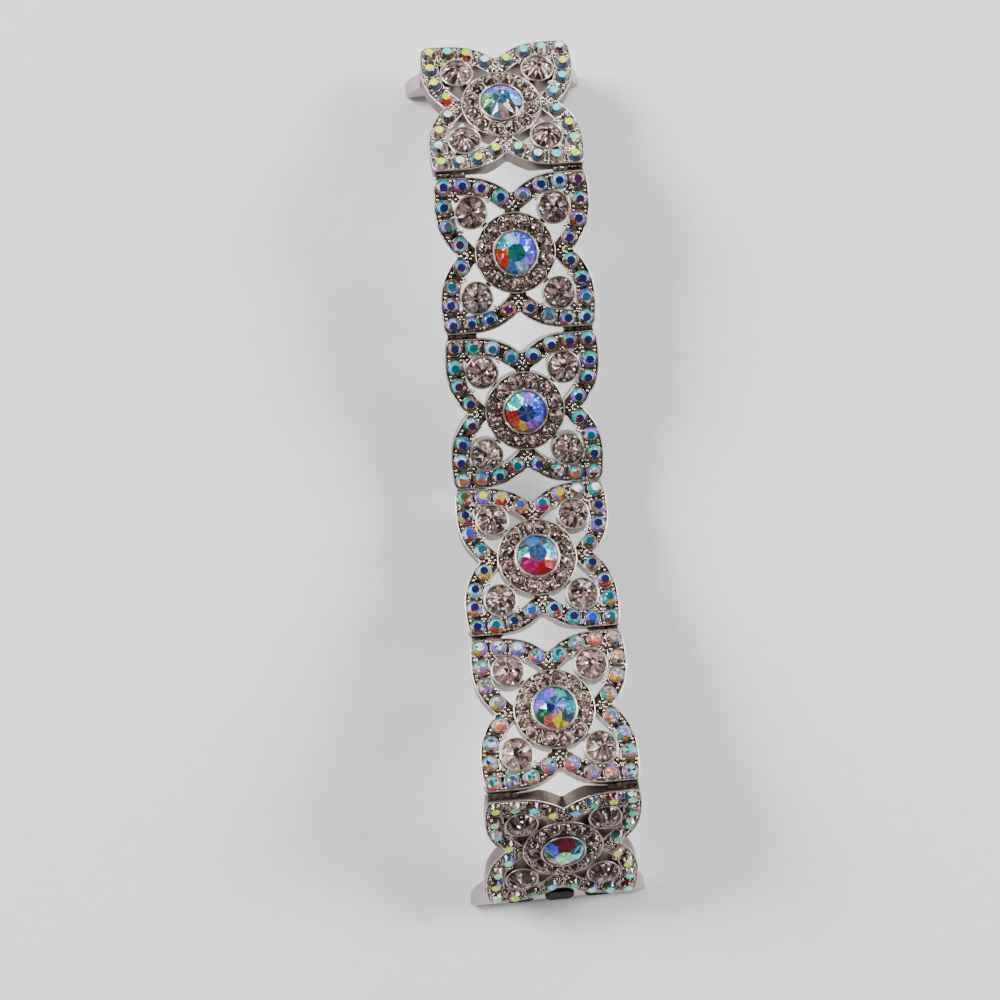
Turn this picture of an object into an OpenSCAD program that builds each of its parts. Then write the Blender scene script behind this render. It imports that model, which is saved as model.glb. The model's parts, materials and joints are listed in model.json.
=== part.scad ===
// Rhinestone watch band, in millimetres.
// Six cast openwork links carry flat-back stones and hinge on short pins at their wing tips.
// A slide-in case adapter with a sprung latch swings on a bar behind each end link.
// The stones face +Z, the band runs along Y, and it lies in its resting curve on both adapters.

/* [Stones] */
// Diameter of the border and halo stones
small_d = 2; // [1.8:0.05:2.1]
// Height of a small stone above its rim
small_crown = 0.75; // [0.4:0.05:0.9]
// Diameter of the four stones inside the wings
medium_d = 4; // [3.6:0.1:4.1]
// Height of a medium stone above its rim
medium_crown = 1; // [0.5:0.05:1.3]
// Diameter of the centre stone
centre_d = 5.6; // [5:0.1:5.7]
// Height of the centre stone above its bezel
centre_crown = 1.1; // [0.6:0.1:1.5]
// Depth of the seat of a small stone
small_seat = 0.2; // [0.15:0.05:0.25]
// Depth of the seat of a medium stone
medium_seat = 0.3; // [0.2:0.05:0.5]
// Depth of the seat of the centre stone
centre_seat = 0.4; // [0.3:0.05:0.6]
// Space round each stone in its seat
seat_fit = 0.05; // [0.03:0.01:0.08]
// Width of a small or medium stone's table as a share of the stone
table_share = 0.57; // [0.5:0.01:0.65]
// Width of the centre stone's table as a share of the stone
centre_table_share = 0.54; // [0.45:0.01:0.6]
// Width of the centre stone's star ring as a share of the stone
star_share = 0.8; // [0.7:0.01:0.85]

/* [Link] */
// Half the distance across the band between corner stones
stone_x = 9; // [8.8:0.1:10]
// Half the distance along the band between corner stones
stone_y = 9.2; // [9.05:0.05:9.25]
// Thickness of the cast plate
plate_t = 2.1; // [1.9:0.1:3]
// Width of the bright rim round each stone
rim = 0.15; // [0.12:0.01:0.2]
// Stones between the notch and the corner in each half row
row_count = 3; // [2:1:3]
// Distance from the notch to its first stone
row_first = 1.5; // [1.4:0.05:1.6]
// Step from stone to stone along a row
row_step = 2.5; // [2.4:0.05:2.5]
// How far the notch draws the rows in at its middle
notch_depth = 2.9; // [2.5:0.1:3]
// Reach of the notch on each side of its middle
notch_reach = 2.6; // [2.4:0.1:2.8]
// Sharpness of the notch: 2 is round, 1 is a sharp V
notch_sharp = 1.3; // [1.2:0.1:1.6]
// How far the side rows swell out before the corner
side_swell = 0.3; // [0:0.05:0.45]
// How far the end rows swell out before the corner
end_swell = 0.1; // [0:0.05:0.1]
// Radius of the circle of halo stones
halo_r = 4.15; // [4.1:0.05:4.3]
// Number of halo stones
halo_count = 12; // [10:1:12]
// Sideways place of the medium stones
medium_x = 5.55; // [5.4:0.05:5.8]
// Lengthwise place of the medium stones
medium_y = 5.7; // [5.5:0.05:5.8]
// Rise of the halo ring above the plate
ring_rise = 0.2; // [0:0.05:0.4]
// Rise of the medium cups above the plate
medium_rise = 0.25; // [0:0.05:0.5]
// Rise of the centre bezel above the plate
centre_rise = 0.75; // [0.3:0.05:1]
// Width of the border band inward from the stones' middles
band_in = 1.15; // [1.1:0.05:1.25]
// Width of the spokes to the corners
spoke_w = 0.8; // [0.6:0.1:1]
// Width of the ties from the wing cups to the border band
tie_w = 0.7; // [0.5:0.1:1]
// Half the width of a bridge at the halo ring
bridge_in = 0.7; // [0.5:0.1:1]
// Half the width of a bridge at the notch
bridge_out = 1.7; // [1.2:0.1:2.2]

/* [Link joints] */
// Space from a link's end to the joint plane
tip_gap = 0.25; // [0.2:0.05:0.5]
// Depth of the joint axis below the plate's face
hinge_drop = 0.85; // [0.8:0.05:0.95]
// Knuckle radius
knuckle_r = 0.55; // [0.45:0.05:0.55]
// Hinge pin diameter
hinge_pin_d = 0.6; // [0.4:0.05:0.7]
// Radial play of a pin in its bore
pin_play = 0.02; // [0.01:0.01:0.05]
// Distance of a pin's end inside its bore
pin_inset = 0.05; // [0.02:0.01:0.1]
// Space round a knuckle in its slot
slot_play = 0.08; // [0.06:0.01:0.1]
// Inner end of the inner knuckle
knuckle_x = 5.9; // [5.8:0.05:6]
// Length of one knuckle
knuckle_len = 1.9; // [1.6:0.1:1.9]
// Space between knuckles along the pin
knuckle_gap = 0.1; // [0.06:0.01:0.14]
// Space from the wing tip's nose to the joint plane
nose_gap = 0.1; // [0.08:0.01:0.12]
// Largest fold toward the stones, degrees
front_fold = 36; // [35:1:38]
// Largest fold toward the wrist, degrees
back_fold = 66; // [64:1:68]
// Angle to spare past the fold toward the stones, degrees
front_spare = 0.6; // [0.4:0.1:1]
// Angle to spare past the fold toward the wrist, degrees
back_spare = 2; // [1:0.5:3]
// Distance from the corner stones' middles back to the solid land in a wing tip
land_in = 0.65; // [0.5:0.05:0.8]
// Width of the land beyond the knuckles: once on the outer side, twice on the inner
land_side = 0.1; // [0.05:0.05:0.2]
// Depth of the land below the plate's face
land_drop = 0.1; // [0.05:0.05:0.2]

/* [Case adapter] */
// Length of the slider that enters the watch case
slider_len = 24.5; // [23.5:0.1:26]
// Thickness of the slider
slider_t = 2.1; // [1.9:0.1:2.4]
// Distance from the bar to the slider's near face
slider_near = 2.2; // [2.1:0.1:3]
// Distance from the bar to the slider's nose
slider_far = 6.2; // [6:0.1:7.5]
// Distance from the link's end to the bar
bar_inset = 1.7; // [1.5:0.1:2]
// Diameter of the bar
bar_d = 1; // [0.8:0.1:1.2]
// Radius of the tube loops behind the end links
loop_r = 0.85; // [0.75:0.05:0.9]
// Inner end of each loop
loop_x = 5.9; // [5:0.1:6.5]
// Length of each loop
loop_len = 3.6; // [3:0.1:3.7]
// Side play between a loop and its ear
ear_gap = 0.15; // [0.1:0.05:0.2]
// Thickness of an ear
ear_t = 0.65; // [0.5:0.05:0.8]
// Radius of the eye at the end of an ear
eye_r = 0.8; // [0.7:0.05:0.9]
// Height of an ear's arm
arm_h = 1.2; // [1:0.1:1.3]
// Space between an eye and the link's back
eye_gap = 0.05; // [0.05:0.05:0.3]
// Length of each black pad
pad_len = 4; // [3.4:0.1:4.4]
// Width of each black pad
pad_w = 2; // [1.6:0.1:2.1]
// Distance between neighbouring pads
pad_step = 5.5; // [5.3:0.1:6]
// Rise of the rubber pads above the slider
pad_rise = 0.25; // [0.1:0.05:0.4]
// Depth of the rubber pads' pockets
pad_pocket = 0.6; // [0.4:0.1:0.9]
// Space round a pad in its pocket
pad_fit = 0.05; // [0.03:0.01:0.08]
// Rise of the latch button above the slider
latch_rise = 0.4; // [0.2:0.05:0.5]
// Travel of the latch button
latch_travel = 0.5; // [0.3:0.05:0.5]
// Depth of the lip that holds the latch
latch_lip = 0.4; // [0.3:0.05:0.5]
// Thickness of the latch flange
latch_flange = 0.35; // [0.25:0.05:0.4]
// Width of the latch flange beyond its button
flange_w = 0.2; // [0.1:0.05:0.25]
// Depth of the latch pocket
latch_pocket = 1.5; // [1.4:0.05:1.6]
// Thickness of the latch button over its spring
latch_roof = 0.35; // [0.3:0.05:0.45]
// Play of the flange under the lip
lip_play = 0.02; // [0.01:0.01:0.05]
// Outside diameter of the latch spring
spring_d = 1.3; // [1:0.1:1.4]
// Wire diameter of the latch spring
spring_wire = 0.14; // [0.1:0.01:0.16]
// Turns of the latch spring
spring_turns = 4; // [3:1:4]

/* [Resting curve] */
// Bend between links 1 and 2, toward the wrist
bend_12 = 34; // [20:1:50]
// Bend between links 2 and 3, toward the wrist
bend_23 = 7; // [-10:1:20]
// Bend between links 3 and 4, minus is toward the stones
bend_34 = -33; // [-33:1:0]
// Bend between links 4 and 5, minus is toward the stones
bend_45 = -3; // [-20:1:20]
// Bend between links 5 and 6, toward the wrist
bend_56 = 63; // [40:1:63]
// Bend of the top adapter toward the wrist
bend_top = 77; // [60:1:95]
// Bend of the bottom adapter toward the wrist
bend_bottom = 8; // [0:1:20]

/* [Hidden] */
$fn = 48;
eps = 0.01;
// How far a cut runs past the metal
past = 1;
links = 6;
rest_bends = [bend_12, bend_23, bend_34, bend_45, bend_56];

// Heights in a stone: its star ring as a share of the crown, its girdle as a share of the seat
star_rise = 0.65;
girdle_share = 0.9;

// Cups and seats
small_r = small_d / 2;
cup_r = small_r + seat_fit + rim;
medium_cup_r = medium_d / 2 + seat_fit + rim;
centre_cup_r = centre_d / 2 + seat_fit + rim;
ring_r = halo_r + cup_r;
small_girdle = small_seat * girdle_share;
medium_girdle = medium_seat * girdle_share;
centre_girdle = centre_seat * girdle_share;

// Joints
tip_y = stone_y + cup_r;
hinge_y = tip_y + tip_gap;
nose_y = hinge_y - nose_gap;
front_slope = tan((front_fold + front_spare) / 2);
back_slope = tan((back_fold + back_spare) / 2);
knuckle_end = knuckle_x + 2 * knuckle_len + knuckle_gap;
knuckle_split = knuckle_x + knuckle_len + knuckle_gap / 2;
land_x0 = knuckle_x - 2 * land_side;
land_x1 = knuckle_end + land_side;
land_y = stone_y - land_in;

// Adapter
pin_y = tip_y - bar_inset;
pin_z = -plate_t - eye_gap - eye_r;
ear_x = loop_x + loop_len + ear_gap;
near_half = ear_x + ear_t;
nose_r = slider_t / 2;
nose_d = slider_far - nose_r;
pad_d = (slider_near + slider_far) / 2;
face_z = slider_t / 2;
latch_bore = latch_rise + latch_lip + lip_play + latch_flange - latch_roof;
latch_top = face_z + latch_rise;
latch_base = face_z - latch_lip - lip_play - latch_flange;
spring_h = latch_base - latch_travel + latch_bore - lip_play - (face_z - latch_pocket);

// Border stones of one quarter, from the end notch by the corner to the side notch
function notch(t) = notch_depth * exp(-pow(abs(t) / notch_reach, notch_sharp));
end_row = function(t) stone_y + end_swell * sin(180 * t / stone_x) - notch(t);
side_row = function(t) stone_x + side_swell * sin(180 * t / stone_y) - notch(t);
row = [for (k = [0 : row_count - 1]) row_first + k * row_step];
quarter = concat(
    [for (t = row) [t, end_row(t)]],
    [[stone_x, stone_y]],
    [for (t = row) [side_row(t), t]]);
corners = [[1, 1], [-1, 1], [-1, -1], [1, -1]];
border = [for (c = corners) for (p = quarter) [p.x * c.x, p.y * c.y]];
halo = [for (k = [0 : halo_count - 1])
    halo_r * [cos((k + 0.5) * 360 / halo_count), sin((k + 0.5) * 360 / halo_count)]];
mediums = [for (c = corners) [medium_x * c.x, medium_y * c.y]];

// Outlines of the border band: a row's curve set off by d, a quarter of it, and all round
outline_steps = 18;
nudge = 0.05;
function slope_at(f, t) = atan((f(t + nudge) - f(t)) / nudge);
function beside(f, t, d) = let (s = slope_at(f, t)) [t - d * sin(s), f(t) + d * cos(s)];
function set_off(f, reach, d) = [for (k = [0 : outline_steps])
    let (p = beside(f, reach * k / outline_steps, d)) if (p.x > nudge) p];
function backward(list) = [for (k = [len(list) - 1 : -1 : 0]) list[k]];
function swapped(list) = [for (p = list) [p.y, p.x]];
function all_round(q) = concat(q, [for (p = backward(q)) [p.x, -p.y]],
    [for (p = q) [-p.x, -p.y]], [for (p = backward(q)) [-p.x, p.y]]);
outer_quarter = concat(set_off(end_row, stone_x, cup_r),
    [for (a = [75 : -15 : 15]) [stone_x + cup_r * cos(a), stone_y + cup_r * sin(a)]],
    swapped(backward(set_off(side_row, stone_y, cup_r))));
corner_in = 1.1 * band_in;
inner_quarter = concat(set_off(end_row, stone_x - corner_in, -band_in),
    swapped(backward(set_off(side_row, stone_y - corner_in, -band_in))));

// Resting curve in the YZ plane, worked out from link 1 downward
function turned(p, a) = [p[0] * cos(a) - p[1] * sin(a), p[0] * sin(a) + p[1] * cos(a)];
function slope(i) = i == 1 ? 0 : slope(i - 1) + rest_bends[i - 2];
function centre(i) = i == 1 ? [0, 0] : centre(i - 1)
    + turned([-hinge_y, -hinge_drop], slope(i - 1)) - turned([hinge_y, -hinge_drop], slope(i));
top_nose = turned([pin_y, pin_z], 0) + turned([nose_d, 0], -bend_top);
bottom_nose = centre(links) + turned([-pin_y, pin_z], slope(links))
    + turned([-nose_d, 0], slope(links) + bend_bottom);
stand = -atan2(top_nose[1] - bottom_nose[1], top_nose[0] - bottom_nose[0]);
far_y = turned([tip_y, 0], stand)[0];
near_y = turned(bottom_nose, stand)[0] - nose_r;
shift_y = -(far_y + near_y) / 2;
shift_z = nose_r - turned(top_nose, stand)[1];

link_colors = ["paleturquoise", "mediumpurple", "teal", "steelblue", "plum", "seagreen"];

// Places

// Puts a link's own frame at its place in the resting curve
module at_link(i)
    translate([0, shift_y, shift_z])
        rotate([stand, 0, 0])
            translate([0, centre(i)[0], centre(i)[1]])
                rotate([slope(i), 0, 0])
                    children();

// Puts an adapter's own frame on its bar: +Y toward the nose, +Z on the stone side
module at_top()
    at_link(1)
        translate([0, pin_y, pin_z])
            rotate([-bend_top, 0, 0])
                children();

module at_bottom()
    at_link(links)
        translate([0, -pin_y, pin_z])
            rotate([bend_bottom, 0, 0])
                rotate([0, 0, 180])
                    children();

// A length of a YZ outline or a rod along X
module along_x(x0, x1)
    translate([x0, 0, 0])
        rotate([90, 0, 90])
            linear_extrude(x1 - x0)
                children();

module rod(x0, x1, y, z, r)
    along_x(x0, x1)
        translate([y, z])
            circle(r);

// The same on both sides of the band
module both_sides()
    for (s = [0, 1])
        mirror([s, 0, 0])
            children();

// Stones

// A flat-back stone: rings of [radius, height] from its back to its table
module cut_stone(rings, sides) {
    last = len(rings) - 1;
    polyhedron(
        points = [for (ring = rings) for (k = [0 : sides - 1])
            [ring[0] * cos(360 * k / sides), ring[0] * sin(360 * k / sides), ring[1]]],
        faces = concat(
            [[for (k = [0 : sides - 1]) k]],
            [for (j = [0 : last - 1]) for (k = [0 : sides - 1])
                [j * sides + k, (j + 1) * sides + k,
                 (j + 1) * sides + (k + 1) % sides, j * sides + (k + 1) % sides]],
            [[for (k = [sides - 1 : -1 : 0]) last * sides + k]]));
}

module small_stone()
    cut_stone([[small_r, 0], [small_r, small_girdle],
               [small_r * table_share, small_seat + small_crown]], 8);

module medium_stone()
    cut_stone([[medium_d / 2, 0], [medium_d / 2, medium_girdle],
               [medium_d / 2 * table_share, medium_seat + medium_crown]], 12);

module centre_stone()
    cut_stone([[centre_d / 2, 0], [centre_d / 2, centre_girdle],
               [centre_d / 2 * star_share, centre_seat + centre_crown * star_rise],
               [centre_d / 2 * centre_table_share, centre_seat + centre_crown]], 16);

module small_stones(places, rise)
    for (p = places)
        translate([p.x, p.y, rise - small_seat])
            rotate([0, 0, atan2(p.y, p.x)])
                small_stone();

// Link frame

module bar(a, b, w)
    translate(a)
        rotate(atan2(b.y - a.y, b.x - a.x))
            translate([0, -w / 2])
                square([norm(b - a), w]);

// Outline of the openwork: the border band, and what ties it to the ring and the wing cups
module openwork() {
    difference() {
        polygon(all_round(outer_quarter));
        polygon(all_round(inner_quarter));
    }
    for (c = corners) {
        bar([0, 0], [stone_x * c.x, stone_y * c.y], spoke_w);
        bar([medium_x * c.x, medium_y * c.y], [medium_x * c.x, end_row(medium_x) * c.y], tie_w);
        bar([medium_x * c.x, medium_y * c.y], [side_row(medium_y) * c.x, medium_y * c.y], tie_w);
    }
    for (s = [-1, 1]) {
        polygon(bridge(s * halo_r, s * end_row(bridge_out)));
        polygon(swapped(bridge(s * halo_r, s * side_row(bridge_out))));
    }
}

// A bridge from the halo ring, which widens to the notch
function bridge(from, to) =
    [[-bridge_in, from], [bridge_in, from], [bridge_out, to], [-bridge_out, to]];

// Round cups that stand on the plate's back and rise above its face
module cups(places, r, rise)
    for (p = places)
        translate([p.x, p.y, -plate_t])
            cylinder(h = plate_t + rise, r = r);

// What a seat takes away over each stone of radius r, from its floor up
module seats(places, r, floor_z)
    for (p = places)
        translate([p.x, p.y, floor_z])
            cylinder(h = past, r = r + seat_fit);

// Half of the plate's side view toward one end: a wedge on the joint axis, or square
function side_view(s, jointed) = jointed
    ? [[s * (nose_y - (hinge_drop + past) * front_slope), past],
       [s * nose_y, -hinge_drop],
       [s * (nose_y - (plate_t - hinge_drop + past) * back_slope), -plate_t - past]]
    : [[s * (tip_y + past), past], [s * (tip_y + past), -plate_t - past]];

module wedge(top_joint, bottom_joint) {
    along_x(-2 * stone_x, 2 * stone_x)
        polygon(concat(side_view(1, top_joint), backward(side_view(-1, bottom_joint))));
}

// Solid land in each wing tip, which the knuckles grow from
module land(s)
    both_sides()
        translate([land_x0, s > 0 ? land_y : -nose_y, -plate_t])
            cube([land_x1 - land_x0, nose_y - land_y, plate_t - land_drop]);

module knuckles(s, x0)
    both_sides()
        rod(x0, x0 + knuckle_len, s * hinge_y, -hinge_drop, knuckle_r);

module slots(s, x0, x1)
    both_sides()
        rod(x0, x1, s * hinge_y, -hinge_drop, knuckle_r + slot_play);

module hinge_bores(s)
    both_sides()
        rod(knuckle_x - past, knuckle_end + past, s * hinge_y, -hinge_drop,
            hinge_pin_d / 2 + pin_play);

// Tube loops for the adapter's bar, each on a web that runs up into the plate
module loops(s) {
    web_w = 1.4 * loop_r;
    web_sunk = 0.2;
    both_sides() {
        rod(loop_x, loop_x + loop_len, s * pin_y, pin_z, loop_r);
        translate([loop_x, s * pin_y - web_w / 2, pin_z])
            cube([loop_len, web_w, -plate_t + web_sunk - pin_z]);
    }
}

module link_frame(i) {
    up = i > 1;
    down = i < links;
    color("silver")
        at_link(i)
            difference() {
                union() {
                    intersection() {
                        union() {
                            translate([0, 0, -plate_t])
                                linear_extrude(plate_t)
                                    openwork();
                            if (up) land(1);
                            if (down) land(-1);
                        }
                        wedge(up, down);
                    }
                    cups(mediums, medium_cup_r, medium_rise);
                    cups([[0, 0]], ring_r, ring_rise);
                    cups([[0, 0]], centre_cup_r, centre_rise);
                    if (up) knuckles(1, knuckle_split + knuckle_gap / 2);
                    if (down) knuckles(-1, knuckle_x);
                    if (!up) loops(1);
                    if (!down) loops(-1);
                }
                seats(border, small_r, -small_seat);
                seats(halo, small_r, ring_rise - small_seat);
                seats(mediums, medium_d / 2, medium_rise - medium_seat);
                seats([[0, 0]], centre_d / 2, centre_rise - centre_seat);
                if (up) {
                    slots(1, land_x0 - eps, knuckle_split);
                    hinge_bores(1);
                }
                if (down) {
                    slots(-1, knuckle_split, land_x1 + eps);
                    hinge_bores(-1);
                }
                if (!up) loop_bores(1);
                if (!down) loop_bores(-1);
            }
}

module loop_bores(s)
    both_sides()
        rod(loop_x - past, loop_x + loop_len + past, s * pin_y, pin_z, bar_d / 2 + pin_play);

module border_stones(i)
    color(link_colors[i - 1])
        at_link(i)
            small_stones(border, 0);

module halo_stones(i)
    color("rosybrown")
        at_link(i)
            small_stones(halo, ring_rise);

module wing_stones(i)
    color("tan")
        at_link(i)
            for (p = mediums)
                translate([p.x, p.y, medium_rise - medium_seat])
                    medium_stone();

module set_centre_stone(i)
    color(link_colors[i - 1])
        at_link(i)
            translate([0, 0, centre_rise - centre_seat])
                centre_stone();

// Two short pins join link i to the next one
module hinge_pins(i)
    color("gray")
        at_link(i)
            both_sides()
                rod(knuckle_x + pin_inset, knuckle_end - pin_inset, -hinge_y, -hinge_drop,
                    hinge_pin_d / 2);

// Case adapter, drawn with its bar along X at the origin

module pill(len, w) {
    square([len - w, w], center = true);
    for (s = [-1, 1])
        translate([s * (len - w) / 2, 0])
            circle(w / 2);
}

// Plan of the slider: ends that curve out toward the nose
module slider_plan() {
    steps = 8;
    reach = slider_far - slider_near;
    edge = [for (k = [0 : steps])
        [near_half + (slider_len / 2 - near_half) * sin(90 * k / steps),
         slider_near + reach * k / steps]];
    polygon(concat(edge, [for (p = backward(edge)) [-p.x, p.y]]));
}

module slider() {
    arm_sunk = 0.5;
    difference() {
        union() {
            intersection() {
                along_x(-slider_len, slider_len) {
                    translate([slider_near, -slider_t / 2])
                        square([nose_d - slider_near, slider_t]);
                    translate([nose_d, 0])
                        circle(nose_r);
                }
                translate([0, 0, -slider_t])
                    linear_extrude(2 * slider_t)
                        slider_plan();
            }
            both_sides()
                along_x(ear_x, near_half) {
                    circle(eye_r);
                    translate([0, -arm_h / 2])
                        square([slider_near + arm_sunk, arm_h]);
                }
        }
        rod(-slider_len, slider_len, 0, 0, bar_d / 2 + pin_play);
        both_sides()
            translate([pad_step, pad_d, face_z - pad_pocket])
                linear_extrude(slider_t)
                    pill(pad_len + 2 * pad_fit, pad_w + 2 * pad_fit);
        translate([0, pad_d, face_z - latch_lip - eps])
            linear_extrude(slider_t)
                pill(pad_len + 2 * pad_fit, pad_w + 2 * pad_fit);
        translate([0, pad_d, face_z - latch_pocket])
            linear_extrude(latch_pocket - latch_lip)
                pill(pad_len + 2 * (flange_w + pad_fit), pad_w + 2 * (flange_w + pad_fit));
    }
}

module pads()
    both_sides()
        translate([pad_step, pad_d, face_z - pad_pocket])
            linear_extrude(pad_pocket + pad_rise)
                pill(pad_len, pad_w);

// Latch button with a flange under the lip and a blind bore for its spring
module latch()
    translate([0, pad_d, 0])
        difference() {
            union() {
                translate([0, 0, latch_base])
                    linear_extrude(latch_top - latch_base)
                        pill(pad_len, pad_w);
                translate([0, 0, latch_base])
                    linear_extrude(latch_flange)
                        pill(pad_len + 2 * flange_w, pad_w + 2 * flange_w);
            }
            translate([0, 0, latch_base - past])
                cylinder(h = past + latch_bore, r = spring_d / 2 + pad_fit);
        }

// Coil spring as one unbroken tube, drawn at its pressed length
module latch_spring() {
    sides = 6;
    ring_steps = 10;
    count = spring_turns * ring_steps;
    mean_r = (spring_d - spring_wire) / 2;
    rise = spring_h - spring_wire;
    translate([0, pad_d, face_z - latch_pocket + spring_wire / 2])
        polyhedron(
            points = [for (j = [0 : count]) for (k = [0 : sides - 1])
                let (a = 360 * j / ring_steps, b = 360 * k / sides + 90,
                     r = mean_r + spring_wire / 2 * cos(b))
                [r * cos(a), r * sin(a), rise * j / count + spring_wire / 2 * sin(b)]],
            faces = concat(
                [[for (k = [0 : sides - 1]) k]],
                [for (j = [0 : count - 1]) for (k = [0 : sides - 1])
                    [j * sides + k, (j + 1) * sides + k,
                     (j + 1) * sides + (k + 1) % sides, j * sides + (k + 1) % sides]],
                [[for (k = [sides - 1 : -1 : 0]) count * sides + k]]));
}

module spring_bar()
    rod(pin_inset - near_half, near_half - pin_inset, 0, 0, bar_d / 2);

module top_slider() color("rosybrown") at_top() slider();
module top_bar() color("gray") at_top() spring_bar();
module top_latch() color("dimgray") at_top() latch();
module top_latch_spring() color("silver") at_top() latch_spring();
module top_pads() color("black") at_top() pads();
module bottom_slider() color("rosybrown") at_bottom() slider();
module bottom_bar() color("gray") at_bottom() spring_bar();
module bottom_latch() color("dimgray") at_bottom() latch();
module bottom_latch_spring() color("silver") at_bottom() latch_spring();
module bottom_pads() color("black") at_bottom() pads();

for (i = [1 : links]) {
    link_frame(i);
    border_stones(i);
    halo_stones(i);
    wing_stones(i);
    set_centre_stone(i);
}
for (i = [1 : links - 1])
    hinge_pins(i);
top_slider();
top_bar();
top_latch();
top_latch_spring();
top_pads();
bottom_slider();
bottom_bar();
bottom_latch();
bottom_latch_spring();
bottom_pads();
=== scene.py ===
# %% [markdown]
# A rhinestone watch band, dressed for the camera.
# The real band is a chain of six cast openwork links on short hinge pins. Each link holds 45 foiled glass
# stones, and a slide-in adapter at each end goes into the watch case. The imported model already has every
# piece at its real size, so nothing is measured twice here. The script reads the seats, the castings and
# the joints from that frame, and adds what the light falls on: cut facets, prongs, rims and finish.

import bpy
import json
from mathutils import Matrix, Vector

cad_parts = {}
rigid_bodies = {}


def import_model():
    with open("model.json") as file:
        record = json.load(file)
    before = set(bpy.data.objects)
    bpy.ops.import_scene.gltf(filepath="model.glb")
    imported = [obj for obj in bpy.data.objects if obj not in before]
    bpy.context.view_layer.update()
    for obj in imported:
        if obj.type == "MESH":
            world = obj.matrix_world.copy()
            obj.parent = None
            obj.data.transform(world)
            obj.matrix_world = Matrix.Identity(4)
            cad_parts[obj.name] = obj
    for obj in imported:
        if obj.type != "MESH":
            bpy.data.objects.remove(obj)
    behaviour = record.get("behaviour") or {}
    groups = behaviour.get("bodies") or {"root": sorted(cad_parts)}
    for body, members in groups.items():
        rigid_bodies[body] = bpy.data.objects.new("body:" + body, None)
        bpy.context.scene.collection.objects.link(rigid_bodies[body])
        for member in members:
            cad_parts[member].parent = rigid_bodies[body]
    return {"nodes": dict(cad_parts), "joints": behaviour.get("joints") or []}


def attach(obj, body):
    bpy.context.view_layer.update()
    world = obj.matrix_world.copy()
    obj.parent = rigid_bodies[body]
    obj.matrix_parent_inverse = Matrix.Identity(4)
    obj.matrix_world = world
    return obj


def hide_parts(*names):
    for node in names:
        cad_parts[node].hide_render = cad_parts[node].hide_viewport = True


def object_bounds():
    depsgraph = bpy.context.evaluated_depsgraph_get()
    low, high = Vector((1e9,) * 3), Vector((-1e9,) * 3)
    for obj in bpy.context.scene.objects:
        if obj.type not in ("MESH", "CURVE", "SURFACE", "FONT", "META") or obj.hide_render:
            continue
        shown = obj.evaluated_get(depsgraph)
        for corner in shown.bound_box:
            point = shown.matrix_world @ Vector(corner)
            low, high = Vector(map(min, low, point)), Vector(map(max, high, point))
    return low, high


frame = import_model()
cad_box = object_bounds()

# %% [markdown]
# Blender works in metres and the jeweller in millimetres, so one factor stands between them. A size could
# be typed in metres instead, but 0.22 mm reads more easily than 0.00022.

# %% Units and helpers from Python and Blender
import json
import math
import random

import bmesh
import bpy
from mathutils import Matrix, Vector

MM = 0.001
LINKS = range(1, 7)
scene_objects = bpy.context.scene.collection.objects
print("links to dress:", len(LINKS))

# %% [markdown]
# Each link has a frame of its own: its middle at the plate's face, +Y along the band and +Z on the stone
# side. Two joints are known on every link, so its place in the resting curve follows from them, and the
# curve itself is never repeated here. A hinge lies at the wing tips, and an end link has the adapter's bar
# behind it instead.

# %% Where each link lies
HINGE_POINT = Vector((0, 10.65, -0.85)) * MM
BAR_POINT = Vector((0, 8.7, -2.95)) * MM
joint_at = {j["name"]: Vector(j["pos_m"]) for j in frame["joints"] if "pos_m" in j}


def slope_of(vector):
    """How far a line in the band's long section tips up from +Y."""
    return math.atan2(vector.z, vector.y)


def link_frame(i):
    """Matrix from a link's own frame to the band's, worked out from the joints at its two ends."""
    first, last = i == LINKS[0], i == LINKS[-1]
    top = joint_at["top_adapter_swing" if first else f"hinge_{i - 1}_{i}"]
    bottom = joint_at["bottom_adapter_swing" if last else f"hinge_{i}_{i + 1}"]
    own_top = BAR_POINT if first else HINGE_POINT
    own_bottom = (BAR_POINT if last else HINGE_POINT) * Vector((1, -1, 1))
    turn = Matrix.Rotation(slope_of(top - bottom) - slope_of(own_top - own_bottom), 4, "X")
    return Matrix.Translation((top + bottom) / 2 - turn @ ((own_top + own_bottom) / 2)) @ turn


link_at = {i: link_frame(i) for i in LINKS}
for i in LINKS:
    print(f"link {i} slopes {math.degrees(link_at[i].to_euler().x):.2f} degrees")

# %% [markdown]
# The camera comes before any piece, because it settles how large each piece shows. It looks at the third
# link as the photograph does, so its place is given the way it was found: how that link is turned as the
# camera sees it, and how far its middle lies from the lens.

# %% Camera
LENS = 72
SENSOR_WIDTH = 36
NEAREST, FARTHEST = 0.01, 10
LINK_3_TURN = [math.radians(a) for a in (3.407, 14.166, 4.537)]
LINK_3_FROM_LENS = Vector((3.393, 12.133, -271.518)) * MM

camera = bpy.data.objects.new("camera", bpy.data.cameras.new("camera"))
scene_objects.link(camera)
bpy.context.scene.camera = camera
camera.data.lens = LENS
camera.data.sensor_width = SENSOR_WIDTH
camera.data.clip_start = NEAREST
camera.data.clip_end = FARTHEST
roll, pitch, yaw = LINK_3_TURN
seen_turn = Matrix.Rotation(roll, 4, "Z") @ Matrix.Rotation(pitch, 4, "X") @ Matrix.Rotation(yaw, 4, "Y")
camera.matrix_world = link_at[3] @ (Matrix.Translation(LINK_3_FROM_LENS) @ seen_turn).inverted()
print("camera at", [round(x / MM, 1) for x in camera.matrix_world.translation], "mm")

# %% [markdown]
# Colours are written as sRGB hex, as a designer picks them, and one function turns them to the linear
# values that a shader reads. One more small function adds a node with its settings and its links. Nodes
# could be added by hand, with a line for each socket, but then a material no longer fits on a page.

# %% Colour and node helpers


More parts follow.
